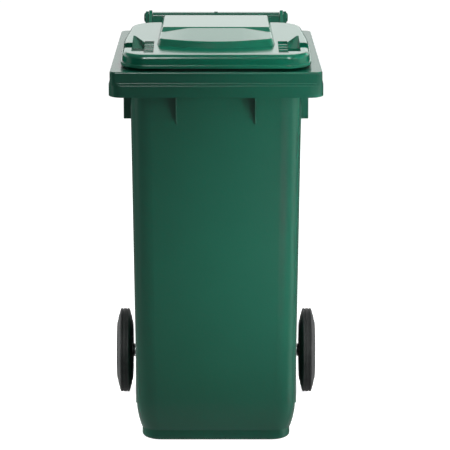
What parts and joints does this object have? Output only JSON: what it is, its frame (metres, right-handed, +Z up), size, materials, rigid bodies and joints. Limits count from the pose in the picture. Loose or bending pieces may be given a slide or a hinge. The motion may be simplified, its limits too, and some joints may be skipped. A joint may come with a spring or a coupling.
{
  "type": "wheelie bin",
  "caption": "Tall tapered plastic waste bin with a comb rim, a hinged domed lid, a rear grip bar and rolling wheels on a steel axle.",
  "frame": {"origin": "on the floor, under the middle of the outer box", "axes": "+Z up, -Y towards the front with the comb rim, +X towards the bin's right as seen from the front"},
  "size_m": [0.4778, 0.56, 0.936],
  "materials": {
    "body_plastic": "glossy moulded polyethylene",
    "lid_plastic": "glossy moulded polyethylene",
    "pin_plastic": "moulded polyamide",
    "black_plastic": "fine-grained black polypropylene",
    "tyre_rubber": "matte solid rubber",
    "buffer_rubber": "matte rubber",
    "zinc_steel": "zinc-plated steel"
  },
  "bodies": {
    "root": {"bin_body": "body_plastic", "axle": "zinc_steel", "chip_nest_plug": "black_plastic", "hinge_pin_left": "pin_plastic", "axle_bush_left": "black_plastic", "spacer_washer_left": "zinc_steel", "hinge_pin_right": "pin_plastic", "axle_bush_right": "black_plastic", "spacer_washer_right": "zinc_steel"},
    "lid": {"lid": "lid_plastic", "lid_buffers": "buffer_rubber"},
    "wheel_left": {"wheel_hub_left": "black_plastic", "tyre_left": "tyre_rubber", "hub_cap_left": "black_plastic", "latch_spring_left": "zinc_steel"},
    "catch_left": {"latch_pin_left": "zinc_steel"},
    "wheel_right": {"wheel_hub_right": "black_plastic", "tyre_right": "tyre_rubber", "hub_cap_right": "black_plastic", "latch_spring_right": "zinc_steel"},
    "catch_right": {"latch_pin_right": "zinc_steel"}
  },
  "joints": [
    {"name": "lid_hinge", "type": "hinge", "parent": "root", "child": "lid", "pos_m": [0, 0.25, 0.899], "axis": [-1, 0, 0], "range_deg": [0, 270]},
    {"name": "wheel_left_spin", "type": "hinge", "parent": "root", "child": "wheel_left", "pos_m": [-0.2177, 0.18, 0.1], "axis": [1, 0, 0], "continuous": true},
    {"name": "catch_left_slide", "type": "slide", "parent": "wheel_left", "child": "catch_left", "axis": [0, 0, 1], "range_m": [0, 0.003], "stiffness_N_per_m": 300, "springref_m": -0.002, "deforming": ["latch_spring_left"]},
    {"name": "wheel_right_spin", "type": "hinge", "parent": "root", "child": "wheel_right", "pos_m": [0.2177, 0.18, 0.1], "axis": [1, 0, 0], "continuous": true},
    {"name": "catch_right_slide", "type": "slide", "parent": "wheel_right", "child": "catch_right", "axis": [0, 0, 1], "range_m": [0, 0.003], "stiffness_N_per_m": 300, "springref_m": -0.002, "deforming": ["latch_spring_right"]}
  ]
}
